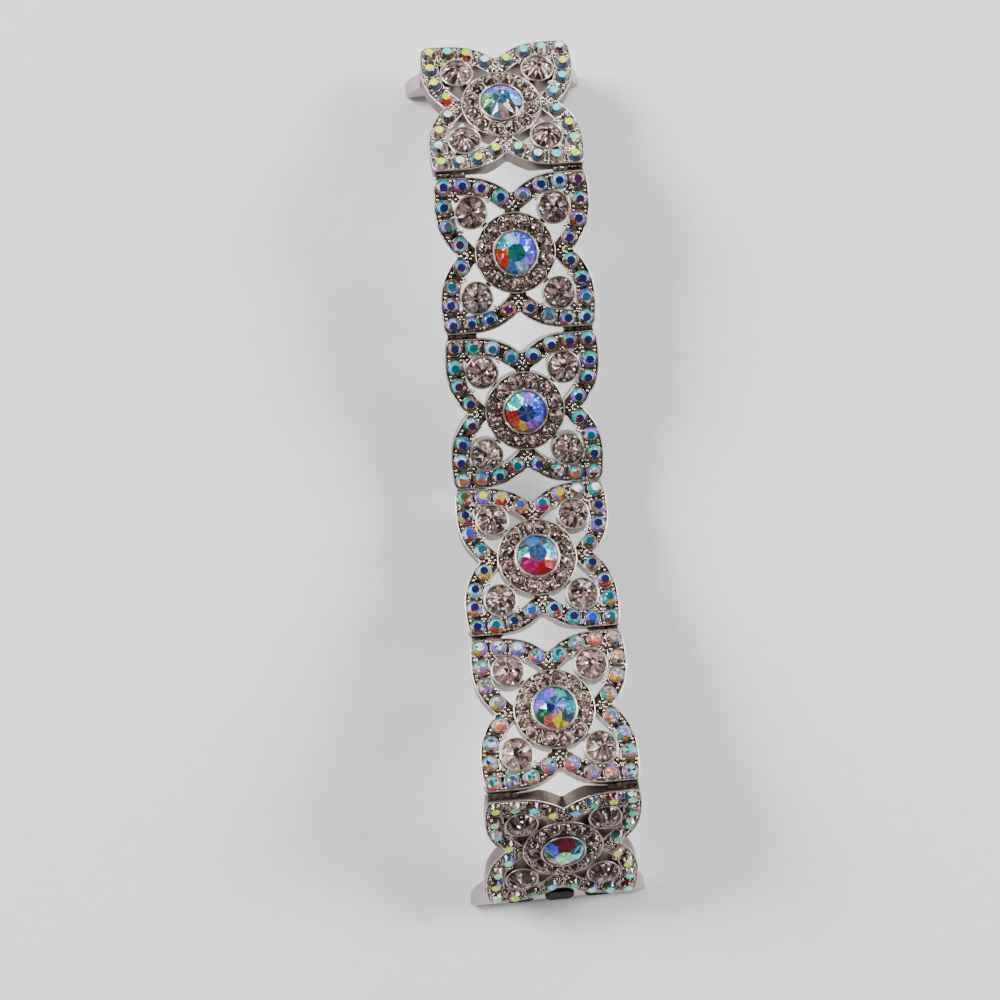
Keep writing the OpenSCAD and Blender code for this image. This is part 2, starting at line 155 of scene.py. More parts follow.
def linear(code):
    """An sRGB hex colour as linear red, green, blue and alpha."""
    parts = [int(code[k:k + 2], 16) / 255 for k in (1, 3, 5)]
    return [x / 12.92 if x <= 0.04045 else ((x + 0.055) / 1.055) ** 2.4 for x in parts] + [1.0]


def add(tree, kind, inputs=None, **settings):
    """Adds a node. Each input is a value, or another node's output to link."""
    node = tree.nodes.new(kind)
    for name, value in settings.items():
        setattr(node, name, value)
    for key, value in (inputs or {}).items():
        if isinstance(value, bpy.types.NodeSocket):
            tree.links.new(value, node.inputs[key])
        else:
            node.inputs[key].default_value = value
    return node


def new_material(name, **values):
    """A material with its even values set straight on the shader's own sockets."""
    material = bpy.data.materials.new(name)
    material.use_nodes = True
    tree = material.node_tree
    shader = tree.nodes["Principled BSDF"]
    for key, value in values.items():
        shader.inputs[key.replace("_", " ").title().replace("Ior", "IOR")].default_value = value
    return material, tree, shader


print("mid grey in linear light:", round(linear("#808080")[0], 3))

# %% [markdown]
# The links are a cast zinc alloy, tumbled and plated with rhodium. On the stone side the colour swings
# at random from a dark brown to greige with a noise half a millimetre wide. The dark brown is painted
# shade and painted reflection of dark surroundings between the stones, and the greige is painted glints.
# Cells a quarter of a millimetre wide tip the surface, each its own way, so each prong and each pit there is
# a small mirror of its own. A bump map could do this too, but at this size it blurs, and a tipped normal
# keeps each pit a clear mirror.
# The walls came smooth out of the mould, so they swing less and slower and are duller. Which side a spot
# is on follows from its normal in the piece's own coordinates, so it stays the same when the link turns.
# The first link leans back into the glare, so its tones are painted paler, as painted glare. A metal keeps
# the default IOR.

# %% Cast metal of the links
RIPPLE = 0.5 * MM
PIT = 0.25 * MM
FLOW = 1.5 * MM
STONE_SIDE = (0.3, 0.8)
SWING = (0.38, 0.7)
PIT_TIP = 0.45
FACE_ROUGHNESS = (0.12, 0.26)
WALL_ROUGHNESS = 0.34
# Stone-side tones: painted shade and dark reflection first, painted glints second; link 1's paler pair is
# painted glare.
PAINTED_FACE_TONES = {i: ("#30251E", "#B9A698") for i in LINKS}
PAINTED_FACE_TONES[1] = ("#75675E", "#E2D6CD")
WALLS = ("#6C615A", "#92867D")


def tipped_normal(tree, cells, tip):
    """The surface's normal, tipped a different way in each cell of a pattern."""
    off_centre = add(tree, "ShaderNodeVectorMath", {0: cells.outputs["Color"], 1: (0.5, 0.5, 0.5)},
                     operation="SUBTRACT")
    scaled = add(tree, "ShaderNodeVectorMath", {0: off_centre.outputs["Vector"], "Scale": tip},
                 operation="SCALE")
    surface = add(tree, "ShaderNodeNewGeometry").outputs["Normal"]
    leaning = add(tree, "ShaderNodeVectorMath", {0: surface, 1: scaled.outputs["Vector"]}, operation="ADD")
    return add(tree, "ShaderNodeVectorMath", {0: leaning.outputs["Vector"]},
               operation="NORMALIZE").outputs["Vector"]


def cast_rhodium(i):
    """The metal of one link, broken up on the side where its stones sit and calm on its walls."""
    material, tree, shader = new_material(f"rhodium_plated_casting_{i}", metallic=1.0)
    spot = add(tree, "ShaderNodeTexCoord")
    place = spot.outputs["Object"]
    stone_side = link_at[i].to_3x3() @ Vector((0, 0, 1))
    facing = add(tree, "ShaderNodeVectorMath", {0: spot.outputs["Normal"], 1: stone_side},
                 operation="DOT_PRODUCT")
    face = add(tree, "ShaderNodeMapRange", {"Value": facing.outputs["Value"], "From Min": STONE_SIDE[0],
                                            "From Max": STONE_SIDE[1]})
    ripple = add(tree, "ShaderNodeTexNoise", {"Vector": place, "Scale": 1 / RIPPLE, "Detail": 3.0})
    flow = add(tree, "ShaderNodeTexNoise", {"Vector": place, "Scale": 1 / FLOW})
    pits = add(tree, "ShaderNodeTexVoronoi", {"Vector": place, "Scale": 1 / PIT})
    swing = add(tree, "ShaderNodeMapRange", {"Value": ripple.outputs["Fac"], "From Min": SWING[0],
                                             "From Max": SWING[1]})
    # The noise mixes painted shade and painted glints on the stone side.
    shade_end, glint_end = PAINTED_FACE_TONES[i]
    painted_face = add(tree, "ShaderNodeMix", {0: swing.outputs["Result"], 6: linear(shade_end), 7: linear(glint_end)},
                 data_type="RGBA")
    wall = add(tree, "ShaderNodeMix", {0: flow.outputs["Fac"], 6: linear(WALLS[0]), 7: linear(WALLS[1])},
               data_type="RGBA")
    tone = add(tree, "ShaderNodeMix", {0: face.outputs["Result"], 6: wall.outputs[2], 7: painted_face.outputs[2]},
               data_type="RGBA")
    tip = add(tree, "ShaderNodeMapRange", {"Value": face.outputs["Result"], "To Max": PIT_TIP})
    tumbled = add(tree, "ShaderNodeMapRange", {"Value": ripple.outputs["Fac"], "To Min": FACE_ROUGHNESS[0],
                                               "To Max": FACE_ROUGHNESS[1]})
    gloss = add(tree, "ShaderNodeMapRange", {"Value": face.outputs["Result"], "To Min": WALL_ROUGHNESS,
                                             "To Max": tumbled.outputs["Result"]})
    tree.links.new(tone.outputs[2], shader.inputs["Base Color"])
    tree.links.new(gloss.outputs["Result"], shader.inputs["Roughness"])
    tree.links.new(tipped_normal(tree, pits, tip.outputs["Result"]), shader.inputs["Normal"])
    return material


castings = {i: cast_rhodium(i) for i in LINKS}
print("cast metals:", len(castings), "with", len(castings[1].node_tree.nodes), "nodes each")

# %% [markdown]
# Prongs and rims are the same metal after a polishing wheel has gone over what stands proud, so they are
# brighter than the valleys between them. A prong is a small mirror ball. A rim is rubbed along its length,
# which leaves it duller, so that it shows as one pale line whichever way the light comes.
# On these, and on the other metals and the blacks below, one grain sets the tone and the roughness
# together, because on a real surface a rubbed spot differs from the next in both. Two noises would not
# agree.

# %% Polished prongs and rubbed rims
RELIEF_DEPTH = 0.02 * MM


def follow_grain(tree, shader, grain, tones, roughness, relief=0.0):
    """Lets a grain choose tone and roughness between two values each, and raise the surface a little."""
    tone = add(tree, "ShaderNodeMix", {0: grain.outputs["Fac"], 6: linear(tones[0]), 7: linear(tones[1])},
               data_type="RGBA")
    gloss = add(tree, "ShaderNodeMapRange", {"Value": grain.outputs["Fac"], "To Min": roughness[0],
                                             "To Max": roughness[1]})
    tree.links.new(tone.outputs[2], shader.inputs["Base Color"])
    tree.links.new(gloss.outputs["Result"], shader.inputs["Roughness"])
    if relief:
        bump = add(tree, "ShaderNodeBump", {"Height": grain.outputs["Fac"], "Strength": relief,
                                            "Distance": RELIEF_DEPTH})
        tree.links.new(bump.outputs["Normal"], shader.inputs["Normal"])


def worked_rhodium(name, tones, roughness):
    """Rhodium plate with a grain as wide as the ripple of the casting."""
    material, tree, shader = new_material(name, metallic=1.0)
    place = add(tree, "ShaderNodeTexCoord").outputs["Object"]
    grain = add(tree, "ShaderNodeTexNoise", {"Vector": place, "Scale": 1 / RIPPLE, "Detail": 2.0})
    follow_grain(tree, shader, grain, tones, roughness)
    return material


bright = worked_rhodium("polished_rhodium", tones=("#A89686", "#E6DACF"), roughness=(0.07, 0.18))
rubbed = worked_rhodium("rubbed_rhodium", tones=("#BDAFA4", "#F4EAE0"), roughness=(0.25, 0.4))
print("worked metals:", bright.name, "and", rubbed.name)

# %% [markdown]
# The adapters are a satin alloy, slightly pink beside the rhodium. A satin finish is brushed along the
# slider, so its noise is drawn out 12 times along X. The grit is drawn three times coarser than the real
# 0.05 mm, which would not show at this distance. An anisotropic shader could stretch the highlights alike,
# but it shows no scratches.

# %% Satin alloy of the adapters
GRIT = 0.15 * MM
DRAWN_OUT = 12

satin, tree, shader = new_material("satin_adapter_alloy", metallic=1.0)
place = add(tree, "ShaderNodeTexCoord").outputs["Object"]
along = add(tree, "ShaderNodeMapping", {"Vector": place, "Scale": (1 / DRAWN_OUT, 1, 1)})
brushed = add(tree, "ShaderNodeTexNoise", {"Vector": along.outputs["Vector"], "Scale": 1 / GRIT,
                                           "Detail": 4.0})
follow_grain(tree, shader, brushed, tones=("#A8989A", "#CFC2C2"), roughness=(0.3, 0.46), relief=0.2)
print("slider metal:", satin.name)

# %% [markdown]
# Pins, bars and springs are drawn steel wire. The die leaves fine lines along the wire, and pins and bars
# lie across the band, along X. So the brushed noise of the sliders serves here too, with less detail, in a
# cooler grey, and without relief, because the lines are too shallow to feel.

# %% Drawn steel wire
wire_steel, tree, shader = new_material("drawn_steel_wire", metallic=1.0)
place = add(tree, "ShaderNodeTexCoord").outputs["Object"]
along = add(tree, "ShaderNodeMapping", {"Vector": place, "Scale": (1 / DRAWN_OUT, 1, 1)})
drawn = add(tree, "ShaderNodeTexNoise", {"Vector": along.outputs["Vector"], "Scale": 1 / GRIT})
follow_grain(tree, shader, drawn, tones=("#8C8C90", "#C6C6CA"), roughness=(0.2, 0.35))
print("pins, bars and springs:", wire_steel.name)

# %% [markdown]
# The outer pads are moulded rubber and the middle one is the latch button, in moulded plastic. Both are
# black, but rubber has a dull bloom with a fine pebble, and plastic keeps a low gloss. One black for both
# would be less work, and then the button would be lost between the pads.

# %% Black rubber and black plastic
PEBBLE = 0.12 * MM

rubber, tree, shader = new_material("moulded_rubber", specular_ior_level=0.12)
place = add(tree, "ShaderNodeTexCoord").outputs["Object"]
pebble = add(tree, "ShaderNodeTexNoise", {"Vector": place, "Scale": 1 / PEBBLE, "Detail": 2.0})
follow_grain(tree, shader, pebble, tones=("#050505", "#100F10"), roughness=(0.5, 0.7), relief=0.3)

plastic, tree, shader = new_material("moulded_abs", specular_ior_level=0.15)
place = add(tree, "ShaderNodeTexCoord").outputs["Object"]
sheen = add(tree, "ShaderNodeTexNoise", {"Vector": place, "Scale": 1 / PEBBLE})
follow_grain(tree, shader, sheen, tones=("#060606", "#0E0D0F"), roughness=(0.4, 0.55))
print("pads and buttons:", rubber.name, "and", plastic.name)

# %% [markdown]
# A flat-back rhinestone is pressed glass on a mirror foil. The eye sees the foil through the facets, so
# each facet shows one flat patch of light, either bright or nearly black. Clear glass over a mirror could
# be made, but each ray would need many bounces to find its way out. So the shader is a coloured mirror
# under a clear coat, and each facet carries its patch of light as a painted reflection colour in an
# attribute. The cuts of the back break every facet up again: cells a quarter to a third of a millimetre
# wide are painted darker or lighter as painted sparkle, lean each its own way, and a few are painted
# nearly white as painted glints.

# %% Foiled glass
GLASS_IOR = 1.56
PAINTED_GLINT = "#FFF6F0"


def foiled_glass(name, cell, dark, light, mirror, glint_share, tip):
    """Glass over foil; dark and light bound a cell's painted shade, glint_share the share of painted glints.
    """
    material, tree, shader = new_material(name, metallic=mirror, roughness=0.12, ior=GLASS_IOR,
                                          coat_weight=0.6, coat_roughness=0.03)
    facet = add(tree, "ShaderNodeAttribute", attribute_name="facet_colour")
    place = add(tree, "ShaderNodeTexCoord").outputs["Object"]
    cells = add(tree, "ShaderNodeTexVoronoi", {"Vector": place, "Scale": 1 / cell})
    level = add(tree, "ShaderNodeSeparateColor", {"Color": cells.outputs["Color"]})
    shade = add(tree, "ShaderNodeMapRange", {"Value": level.outputs[0], "To Min": dark, "To Max": light})
    painted_sparkle = add(tree, "ShaderNodeVectorMath", {0: facet.outputs["Color"], "Scale": shade.outputs["Result"]},
              operation="SCALE")
    # A share of the cells is painted near white as glints; the others carry a painted shade from dark to
    # light.
    glint = add(tree, "ShaderNodeMath", {0: level.outputs[1], 1: 1 - glint_share}, operation="GREATER_THAN")
    seen = add(tree, "ShaderNodeMix", {0: glint.outputs[0], 6: painted_sparkle.outputs["Vector"], 7: linear(PAINTED_GLINT)},
               data_type="RGBA")
    tree.links.new(seen.outputs[2], shader.inputs["Base Color"])
    tree.links.new(tipped_normal(tree, cells, tip), shader.inputs["Normal"])
    return material


# The smoky cuts have the strongest painted sparkle and the most painted glints.
aurora = foiled_glass("aurora_coated_glass", cell=0.3 * MM, dark=0.75, light=1.2, mirror=0.25,
                      glint_share=0.01, tip=0.25)
aurora_large = foiled_glass("aurora_glass_large_cut", cell=0.35 * MM, dark=0.6, light=1.3, mirror=0.25,
                            glint_share=0.002, tip=0.25)
smoky_small = foiled_glass("smoky_glass_small_cut", cell=0.24 * MM, dark=0.3, light=1.6, mirror=0.45,
                           glint_share=0.08, tip=0.5)
smoky_large = foiled_glass("smoky_glass_large_cut", cell=0.32 * MM, dark=0.45, light=1.45, mirror=0.4,
                           glint_share=0.05, tip=0.4)
print("materials:", [m.name for m in bpy.data.materials])

# %% [markdown]
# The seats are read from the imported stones. Their node holds separate solids, so the vertices are merged
# and walked from edge to edge, and each island gives a seat: its middle, its back, its radius and its
# height. Their places could be worked out again by formula, but a stone that is made to the values read
# here cannot miss its cup. The walk keeps each island in a list, in the mesh's own order, and fsum adds
# without rounding on the way. A set hands its vertices out in any order, and the middle that a plain sum
# gives would then differ in its last digit from run to run.

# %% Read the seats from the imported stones
MERGE = 0.001 * MM


def own_bmesh(node, i):
    """A merged copy of a CAD node's mesh in its link's own frame."""
    bm = bmesh.new()
    bm.from_mesh(frame["nodes"][node].data)
    bmesh.ops.remove_doubles(bm, verts=bm.verts, dist=MERGE)
    bm.transform(link_at[i].inverted())
    return bm


def seats_of(node, i):
    """Middle of the back, radius and height of each separate stone in a node."""
    bm = own_bmesh(node, i)
    walked = set()
    seats = []
    for start in bm.verts:
        if start in walked:
            continue
        walked.add(start)
        island = [start]
        for vert in island:
            for other in (edge.other_vert(vert) for edge in vert.link_edges):
                if other not in walked:
                    walked.add(other)
                    island.append(other)
        points = [v.co.copy() for v in island]
        middle = Vector([math.fsum(along) / len(points) for along in zip(*points)])
        low, high = min(p.z for p in points), max(p.z for p in points)
        radius = max((p.xy - middle.xy).length for p in points)
        seats.append({"at": Vector((middle.x, middle.y, low)), "radius": radius, "height": high - low})
    bm.free()
    return sorted(seats, key=lambda seat: math.atan2(seat["at"].y, seat["at"].x))


STONES = {"border": "border_stones", "halo": "halo_stones", "wing": "wing_stones",
          "centre": "centre_stone"}
seats = {(i, row): seats_of(f"link_{i}_{node}", i) for i in LINKS for row, node in STONES.items()}
print("seats on link 3:", {row: len(seats[3, row]) for row in STONES})

# %% [markdown]
# A rhinestone's crown is cut by rule: a flat table, a ring of small star facets round it, kite-shaped
# main facets below them, and pairs of narrow facets down to the girdle. The table is split into wedges
# from its middle, because the eye sees the cuts of the back through it. A bevelled cone would be quicker,
# but it has no stars and no kites. Writing the rings as loops gives every size of stone from one function,
# and each face keeps a number for the zone it belongs to.

# %% Cut one stone
BACK, TABLE, STAR, KITE, LOWER = range(5)


def cut_stone(name, folds, radius, height, girdle, table, star, star_height, wedges=1):
    """A flat-back stone. table and star are shares of the radius, star_height and girdle of the height."""
    bm = bmesh.new()
    zone = bm.faces.layers.int.new("zone")

    def ring(count, share, level, offset=0.0):
        turns = [2 * math.pi * (k + offset) / count for k in range(count)]
        return [bm.verts.new((radius * share * math.cos(a), radius * share * math.sin(a), height * level))
                for a in turns]

    def face(kind, *verts):
        bm.faces.new(verts)[zone] = kind

    around = 2 * folds
    back, belt = ring(around, 1, 0), ring(around, 1, girdle)
    stars = ring(folds, star, star_height, 0.5)
    tables = ring(folds, table, 1)
    middle = bm.verts.new((0, 0, height))
    face(BACK, *reversed(back))
    for k in range(around):
        face(BACK, back[k], back[(k + 1) % around], belt[(k + 1) % around], belt[k])
    for k in range(folds):
        after, here, before = (k + 1) % folds, 2 * k, (k - 1) % folds
        face(STAR, tables[k], stars[k], tables[after])
        face(KITE, tables[k], stars[before], belt[here], stars[k])
        face(LOWER, stars[k], belt[here], belt[here + 1])
        face(LOWER, stars[k], belt[here + 1], belt[(here + 2) % around])
        edge = [tables[k].co.lerp(tables[after].co, w / wedges) for w in range(1, wedges)]
        rim = [tables[k]] + [bm.verts.new(p) for p in edge] + [tables[after]]
        for a, b in zip(rim, rim[1:]):
            face(TABLE, middle, a, b)
    mesh = bpy.data.meshes.new(name)
    bm.to_mesh(mesh)
    bm.free()
    return mesh


print("zones of a cut stone:", LOWER + 1)

# %% [markdown]
# What repeats is made by Geometry Nodes, which put one shape on many points or along many lines. Three
# helpers serve every tree: one opens it with named inputs, one closes it with plain geometry and a
# material, and one runs it on a mesh and keeps the result, so that no live modifier is left behind. A
# fourth makes the loose points that the shapes are put on.

# %% Geometry Nodes helpers


def new_tree(name, **inputs):
    """A tree with a geometry going through it and one named input for each size."""
    tree = bpy.data.node_groups.new(name, "GeometryNodeTree")
    tree.interface.new_socket("Geometry", in_out="OUTPUT", socket_type="NodeSocketGeometry")
    tree.interface.new_socket("Geometry", in_out="INPUT", socket_type="NodeSocketGeometry")
    for label, kind in inputs.items():
        tree.interface.new_socket(label.replace("_", " "), in_out="INPUT", socket_type="NodeSocket" + kind)
    return tree, tree.nodes.new("NodeGroupInput").outputs


def end_tree(tree, geometry, material):
    """Makes instances real, gives them their material and closes the tree."""
    real = add(tree, "GeometryNodeRealizeInstances", {"Geometry": geometry})
    dressed = add(tree, "GeometryNodeSetMaterial", {"Geometry": real.outputs["Geometry"],
                                                    "Material": material})
    add(tree, "NodeGroupOutput", {"Geometry": dressed.outputs["Geometry"]})
    print("tree:", tree.name, "with", len(tree.nodes), "nodes")


def grow(name, mesh, tree, **values):
    """Runs a tree on a mesh and keeps the result as a plain mesh in a new object."""
    piece = bpy.data.objects.new(name, mesh)
    scene_objects.link(piece)
    modifier = piece.modifiers.new("growth", "NODES")
    modifier.node_group = tree
    for item in tree.interface.items_tree:
        key = item.name.replace(" ", "_")
        if item.in_out == "INPUT" and key in values:
            modifier[item.identifier] = values[key]
    result = piece.evaluated_get(bpy.context.evaluated_depsgraph_get())
    piece.data = bpy.data.meshes.new_from_object(result)
    piece.modifiers.clear()
    return piece


def point_mesh(name, places):
    """A mesh with a loose vertex at each place."""
    mesh = bpy.data.meshes.new(name)
    mesh.from_pydata([tuple(p) for p in places], [], [])
    return mesh


print("helpers for trees: new_tree, end_tree, grow and point_mesh")

# %% [markdown]
# Stones are pressed into their cups as they come, so each has a turn of its own. The seats are the points
# here, and the tree puts a stone on each one with a random turn from a fixed seed. It also stores the
# seat's number, which every vertex of the stone then carries, so that each facet can be coloured afterwards.

# %% Tree that sets stones
setting, given = new_tree("set_stones", Stone="Object", Seed="Int", Material="Material")
number = add(setting, "GeometryNodeInputIndex")
numbered = add(setting, "GeometryNodeStoreNamedAttribute",
               {"Geometry": given["Geometry"], "Name": "seat", "Value": number.outputs["Index"]},
               data_type="INT", domain="POINT")
turn = add(setting, "FunctionNodeRandomValue", {"Min": (0, 0, 0), "Max": (0, 0, 2 * math.pi),
                                                "Seed": given["Seed"]}, data_type="FLOAT_VECTOR")
stone = add(setting, "GeometryNodeObjectInfo", {"Object": given["Stone"]})
placed = add(setting, "GeometryNodeInstanceOnPoints",
             {"Points": numbered.outputs["Geometry"], "Instance": stone.outputs["Geometry"],
              "Rotation": turn.outputs[0]})
end_tree(setting, placed.outputs["Instances"], given["Material"])

# %% [markdown]
# The aurora coating is a thin metal oxide film. What colour it throws back depends on the slope it is
# seen at, so facets that face the same way on one link reflect alike, and the next link, which lies at
# another slope, reflects other colours. A shader could mix colours by the angle of view, but then they would
# slide in every other view. So these reflections are chosen here, in words, and painted on the facets as
# painted reflections, where they stay. The pale words and frost are painted glare, used on the first and
# last links.

# %% The painted reflections of the aurora coating
FACET_PALETTE = {
    "white": "#F4F4F4", "ice": "#8CC8E0", "cyan": "#00A4AC", "turquoise": "#00B8B0", "aqua": "#00A488",
    "mint": "#4CC48C", "sky": "#0C70C8", "peri": "#3450DC", "blue": "#1A3CB8", "navy": "#0A1450",
    "indigo": "#200C5C", "lilac": "#7C64D8", "orchid": "#A44CC4", "magenta": "#9C0C5C",
    "plum": "#3A0A3C", "wine": "#560822", "crimson": "#960A14", "rust": "#A83206",
    "amber": "#D88404", "gold": "#C8A404", "yellow": "#E0C808", "green": "#0C9C3C",
    "emerald": "#045E3A", "teal": "#045468", "pine": "#042C36", "slate": "#3A4A60", "steel": "#5C7488",
    "olive": "#4A4614", "umber": "#3E2719", "tan": "#8C5838", "pearl": "#CDBEC8", "cream": "#F0DCB4",
    "rose": "#C45A5A", "pale_cyan": "#38F0F8", "pale_mint": "#90FFC4", "pale_lime": "#C8FF28",
    "pale_yellow": "#FFFF30", "pale_sky": "#60C8FF", "frost": "#D4FFF8"}
print("words for the coating:", len(FACET_PALETTE))

# %% [markdown]
# The wing and halo stones have no coating. They are smoky glass, and their facets are painted with brown
# shadows, greige and a few pinkish white sparks, as painted shade and painted glints, with no order that
# the eye can find. A noise would show clouds, so each facet draws its word by chance instead, and a word
# that stands in a list more often comes up more.

# %% The colours of smoky glass
# shadow is painted shade and blush is painted sparks.
SMOKE = {"shadow": "#2A1D1A", "cocoa": "#4A3832", "greige": "#80695F", "mauve": "#94726E",
         "dust": "#BC9A94", "blush": "#EAD0C8"}
HALO_SMOKE = "shadow shadow shadow cocoa cocoa cocoa greige greige mauve dust".split()
WING_SMOKE = "shadow cocoa cocoa greige greige mauve mauve mauve dust blush".split()
WING_MIDDLE = "shadow shadow cocoa greige dust".split()
FACET_PALETTE.update(SMOKE)
print("words for coating and glass:", len(FACET_PALETTE))

# %% [markdown]
# Each link has the words of its tables, and eight groups for the patches round a table, from the right,
# then by the far side, the left and the near side. A table with words joined by a stroke is split, and its
# wedges take any of them. Where the film throws nothing back, the smoky glass below it shows, and that is
# the word smoke. The tables of the far or the near row catch other colours on two of the links. A list of
# 168 stones would follow the real band more closely, but a rule with some chance reads better and looks
# as lively.

# %% The reflections painted on each link's small stones
# Reflections painted on the small stones; the pale words and frost are painted glare.
BORDER_REFLECTIONS = {
    1: {"tables": "pale_cyan pale_cyan pale_mint frost frost pale_lime pale_lime pale_yellow pale_yellow",
        "round": "slate smoke steel, slate smoke sky, steel slate smoke, cyan slate smoke, "
                 "smoke slate steel, umber smoke slate, rust umber smoke slate smoke, umber smoke olive"},
    2: {"tables": "navy indigo navy plum teal navy slate",
        "round": "lilac smoke steel smoke, steel cyan ice smoke, turquoise sky lilac ice, "
                 "cyan ice lilac smoke, lilac smoke smoke, rust smoke smoke umber, smoke umber ice pearl, "
                 "lilac smoke cyan smoke"},
    3: {"tables": "navy indigo navy plum teal", "near_tables": "tan tan umber navy smoke",
        "round": "lilac steel smoke, sky turquoise ice, turquoise cyan ice, turquoise cyan aqua, "
                 "smoke lilac tan, rust crimson smoke, smoke tan olive, smoke umber lilac peri"},
    4: {"tables": "navy navy slate indigo teal blue",
        "far_tables": "yellow yellow gold pale_mint white olive",
        "round": "ice sky smoke, ice smoke cyan, turquoise smoke ice, cyan ice steel, lilac smoke ice, "
                 "rust gold smoke umber, magenta rust amber smoke, crimson smoke lilac steel"},
    5: {"tables": "steel/ice/dust lilac/steel/pearl greige/slate/dust mauve/lilac/ice navy/steel/ice "
                  "rose/blush/gold ice/white/slate teal/turquoise/ice steel/mauve/pearl",
        "round": "steel lilac dust, cyan ice dust, turquoise dust pearl, ice dust cyan, smoke rose gold, "
                 "gold rose smoke, rose lilac amber, orchid smoke pearl"},
    6: {"tables": "mint pale_cyan pale_lime aqua pale_sky pale_mint pale_mint",
        "round": "slate lilac smoke, umber olive smoke, wine umber smoke slate smoke, umber teal olive, "
                 "slate smoke umber, aqua slate umber, umber green olive, slate lilac umber"}}
print("patches round a small table:", {len(reflections["round"].split(",")) for reflections in BORDER_REFLECTIONS.values()})

# %% [markdown]
# A centre stone is large enough for its sectors to be told apart, so chance has no place here: each of its
# ten folds has a colour of its own, in the same order round.

# %% The reflections painted on each centre stone
# Reflections painted on the sectors of the centre stones.
CENTRE_REFLECTIONS = {
    1: {"tables": "slate teal slate steel",
        "round": "pale_sky, peri, lilac, lilac, peri, green, emerald, steel, smoke, smoke"},
    2: {"tables": "teal emerald pine",
        "round": "peri, peri, peri, ice, cyan, rust, rust, sky, ice, lilac"},
    3: {"tables": "navy indigo navy slate",
        "round": "blue, peri, lilac, turquoise, turquoise, crimson, rust, gold, orchid, peri"},
    4: {"tables": "teal slate blue",
        "round": "ice, cyan, slate, sky, slate, aqua, magenta, magenta, crimson, rose"},
    5: {"tables": "navy slate lilac pearl teal",
        "round": "cyan, teal, aqua, lilac, peri, lilac, emerald, rose, yellow, slate"},
    6: {"tables": "pale_mint mint pale_mint pale_lime",
        "round": "pale_cyan, teal, wine, wine, peri, emerald, rose, cream, olive, slate"}}
print("sectors of a centre stone:", {len(reflections["round"].split(",")) for reflections in CENTRE_REFLECTIONS.values()})

# %% [markdown]
# Two small stones of one link are alike but never the same, because they sit with other turns. So each
# draws its table and its patches from the link's palette, and a patch often runs on into the next, as a
# reflection does across an edge. Each row of stones has its own rule for this.

# %% Choose a stone's colours
RUNS_ON = 0.45
ROW_Y = 8 * MM


def aurora_wheel(i, at, draw):
    """A small stone's table words and its eight patches, some of which run on into the next."""
    reflections = BORDER_REFLECTIONS[i]
    row = "far_tables" if at.y > ROW_Y else "near_tables" if at.y < -ROW_Y else "tables"
    table = draw.choice(reflections.get(row, reflections["tables"]).split())
    wheel = []
    for words in reflections["round"].split(","):
        runs_on = wheel and draw.random() < RUNS_ON
        wheel.append(wheel[-1] if runs_on else [draw.choice(words.split())])
    return table.split("/"), wheel


def centre_wheel(i, at, draw):
    """A centre stone's table words and its ten sectors."""
    reflections = CENTRE_REFLECTIONS[i]
    return reflections["tables"].split(), [words.split() for words in reflections["round"].split(",")]


def halo_wheel(i, at, draw):
    """Smoke of the small stones, the same all round."""
    return HALO_SMOKE, [HALO_SMOKE]


def wing_wheel(i, at, draw):
    """Smoke of the larger stones, with a darker middle."""
    return WING_MIDDLE, [WING_SMOKE]


print("one small stone of link 3:", aurora_wheel(3, Vector(), random.Random(0)))

# %% [markdown]
# The links slope differently, so their smoky stones catch different shares of the light. The fifth link
# lies straight under it and the two ends lean away. The uncoated rows take that share as a factor.
# A facet has one colour all over, and its shade follows from the zone it belongs to: a table throws most
# light back, and the narrow facets at the girdle least. A few facets catch the colour of another patch,
# and on the fifth link, where the light comes straight down, many do. The flat back, which nobody sees,
# has its middle on the axis, so the last digit of its seat picks its patch. A texture could hold all this,
# but an attribute on the faces needs no unwrapping and stays sharp at each edge.

# %% Paint the facets
SMOKE_LIGHT = {"halo": {1: 0.9, 2: 0.95, 3: 1.15, 4: 1.0, 5: 1.85, 6: 0.65},
               "wing": {1: 0.7, 2: 0.62, 3: 0.8, 4: 0.8, 5: 1.1, 6: 0.4}}
ZONE_SHADE = {BACK: (0.4, 0.6), TABLE: (0.95, 1.15), STAR: (0.9, 1.25), KITE: (0.8, 1.15),
              LOWER: (0.5, 0.95)}
STRAY = {i: 0.08 for i in LINKS}
STRAY[5] = 0.4


def paint_facets(piece, i, places, wheel_of, stray_share, light, draw):
    """Gives each facet one colour, from its stone's table or from the patch that it lies in."""
    mesh = piece.data
    seat = [v.value for v in mesh.attributes["seat"].data]
    zone = [f.value for f in mesh.attributes["zone"].data]
    colours = mesh.color_attributes.new("facet_colour", "FLOAT_COLOR", "CORNER")
    wheels = [wheel_of(i, at, draw) for at in places]
    for face in mesh.polygons:
        number, kind = seat[face.vertices[0]], zone[face.index]
        table, wheel = wheels[number]
        out = face.center.xy - places[number].xy
        turn = math.atan2(out.y, out.x) / (2 * math.pi) * len(wheel)
        stray = draw.choice([1, -1, 2]) if draw.random() < stray_share else 0
        name = draw.choice(table if kind == TABLE else wheel[(round(turn) + stray) % len(wheel)])
        if name == "smoke":
            name = draw.choice(WING_SMOKE)
        red, green, blue, _ = linear(FACET_PALETTE[name])
        shade = draw.uniform(*ZONE_SHADE[kind]) * light
        for corner in face.loop_indices:
            colours.data[corner].color = (red * shade, green * shade, blue * shade, 1)


print("shade of the smoky rows on link 5:", {row: light[5] for row, light in SMOKE_LIGHT.items()})

# %% [markdown]
# Now the stones themselves. Small stones have 8 folds, and the larger ones 10 or 12, as rhinestones of
# these sizes do. Sizes come from the seats, and shares of the radius from the look of the real cut. Each
# row of a link is one piece, because a row shares its glass and rides with its link.

